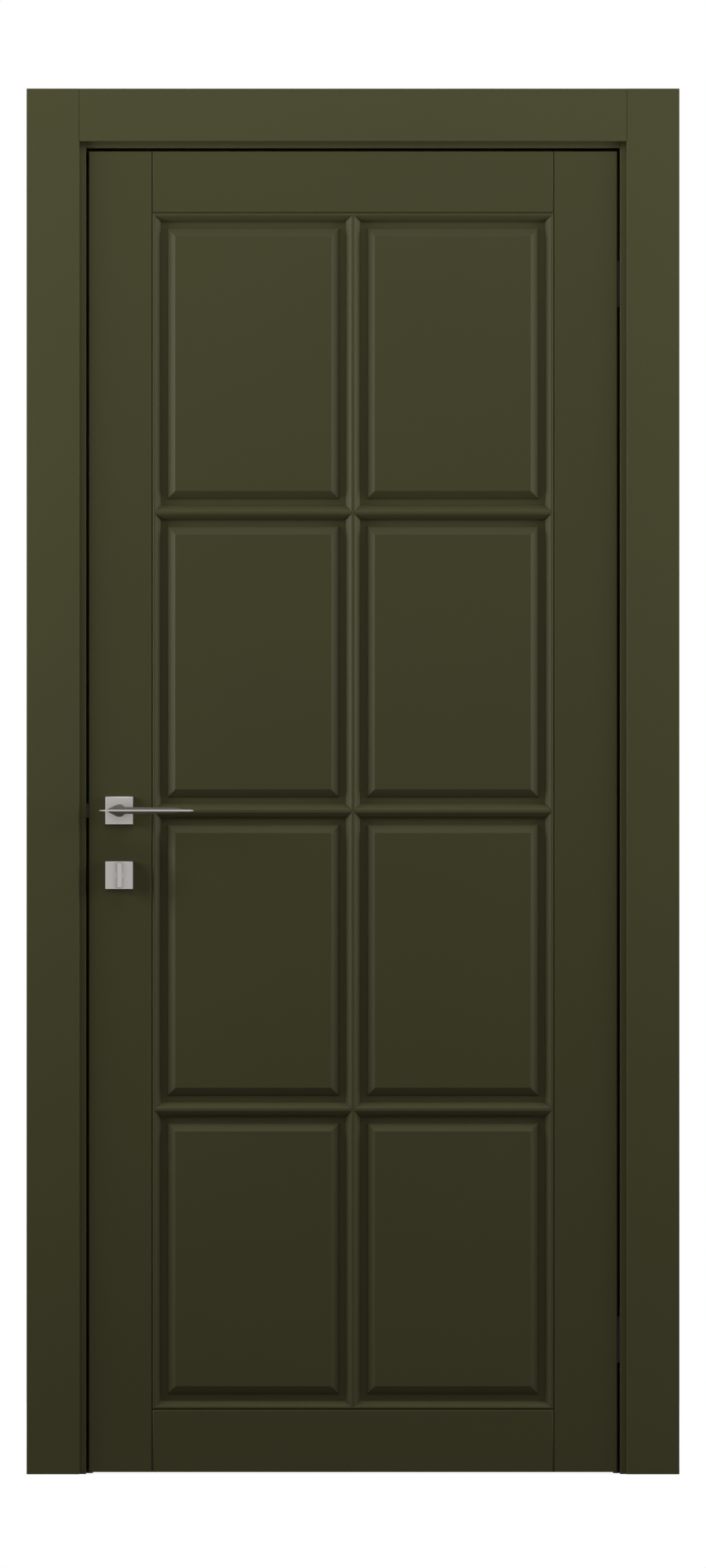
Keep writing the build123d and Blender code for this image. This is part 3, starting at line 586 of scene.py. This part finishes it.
def islands(node):
    # the separate solids of a CAD node, each as a list of its corner points
    form = bmesh.new()
    form.from_mesh(frame["nodes"][node].data)
    bmesh.ops.remove_doubles(form, verts=form.verts, dist=mergeDistance)
    left = set(form.verts)
    groups = []
    for first in form.verts:
        if first not in left:
            continue
        left.remove(first)
        waiting = [first]
        group = []
        while waiting:
            corner = waiting.pop()
            group.append(corner.co.copy())
            for edge in corner.link_edges:
                other = edge.other_vert(corner)
                if other in left:
                    left.remove(other)
                    waiting.append(other)
        groups.append(group)
    form.free()
    return groups


def middleOf(points):
    # middle in Y and in Z
    return [(min(p[axis] for p in points) + max(p[axis] for p in points)) / 2 for axis in (1, 2)]


def screwPlace(points):
    # head centre, outward direction along X and length, read from the plain solid
    lowX, highX = min(p.x for p in points), max(p.x for p in points)
    middleY, middleZ = middleOf(points)

    def reach(x):
        return max(math.hypot(p.y - middleY, p.z - middleZ) for p in points if abs(p.x - x) < samePlane)

    outward = -1 if reach(lowX) > reach(highX) else 1
    headX = lowX if outward < 0 else highX
    return Vector((headX + outward * headProud, middleY, middleZ)), outward, highX - lowX


def repeated(name, maker, sizes, places, slotName):
    # runs the tree on one point for each place, and gives back a plain mesh
    mesh = bpy.data.meshes.new(name)
    mesh.from_pydata([tuple(place) for place, outward in places], [], [])
    turn = mesh.attributes.new("turn", "FLOAT_VECTOR", "POINT")
    for index, (place, outward) in enumerate(places):
        spin = Matrix.Rotation(index * turnStep, 4, "Z")
        lay = Matrix.Rotation(math.pi / 2 * outward, 4, "Y")
        turn.data[index].vector = (lay @ spin).to_euler("XYZ")
    holder = bpy.data.objects.new("holder", mesh)
    bpy.context.scene.collection.objects.link(holder)
    modifier = holder.modifiers.new("repeat", "NODES")
    modifier.node_group = maker.tree
    for size, value in sizes.items():
        modifier[maker.identifiers[size]] = value
    modifier[maker.identifiers["Material"]] = finishes[slotName]
    done = finishedMesh(holder)
    done.shade_smooth()
    done.set_sharp_from_angle(angle=screwCurveAngle)
    return done


screwMaker = woodScrewTree(woodScrew)
for node, name in screwNodes.items():
    placesOf = {}
    for points in islands(node):
        place, outward, length = screwPlace(points)
        placesOf.setdefault(round(length, 4), []).append((place, outward))
    form = bmesh.new()
    for length, places in sorted(placesOf.items()):
        sizes = {**woodScrew, "Shank Length": length - woodScrew["Head Depth"]}
        mesh = repeated(name, screwMaker, sizes, places, slotOf[node])
        form.from_mesh(mesh)
        bpy.data.meshes.remove(mesh)
    screws = bpy.data.meshes.new(name)
    form.to_mesh(screws)
    form.free()
    addPiece(name, screws, [node], bodyOf[node], slotOf[node])
print("screws made")


# Adjusting screws above and below the channel in each hinge housing

adjuster = {
    "Head Radius": 0.0034,
    "Head Depth": 0.0020,
    "Key Radius": 0.0018,
    "Key Depth": 0.0014,
}
adjusterProud = 0.0001
adjusterRise = 0.046         # from the hinge's middle, up and down
keySides = 6


def adjusterTree(sizes):
    # a flat round head with a six-sided key hole, its face at 0
    maker = treeMaker("hingeAdjuster", sizes)
    given = maker.given
    head = maker.add("GeometryNodeMeshCylinder", {
        "Vertices": headSides, "Radius": given["Head Radius"], "Depth": given["Head Depth"],
    }).outputs["Mesh"]
    key = maker.add("GeometryNodeMeshCylinder", {
        "Vertices": keySides, "Radius": given["Key Radius"],
        "Depth": maker.math("MULTIPLY", given["Key Depth"], 2.0),
    }).outputs["Mesh"]
    head = maker.raised(head, maker.math("MULTIPLY", given["Head Depth"], -0.5))
    maker.repeatAtPoints(maker.cutFrom(head, key))
    return maker


def adjusterPlaces(node, outward):
    corners = [vertex.co for vertex in frame["nodes"][node].data.vertices]
    faceX = outward * (max(outward * corner.x for corner in corners) + adjusterProud)
    middleY, middleZ = middleOf(corners)
    return [(Vector((faceX, middleY, middleZ + side * adjusterRise)), outward) for side in (-1, 1)]


adjusterMaker = adjusterTree(adjuster)
for body, outward in (("frame", -1), ("leaf", 1)):
    places = []
    for level in ("upper", "lower"):
        places += adjusterPlaces(f"hinge_{level}_{body}_housing", outward)
    name = body + "HingeAdjusters"
    addPiece(name, repeated(name, adjusterMaker, adjuster, places, "zinc_steel"), [], body, "zinc_steel")
print("hinge adjusting screws made")
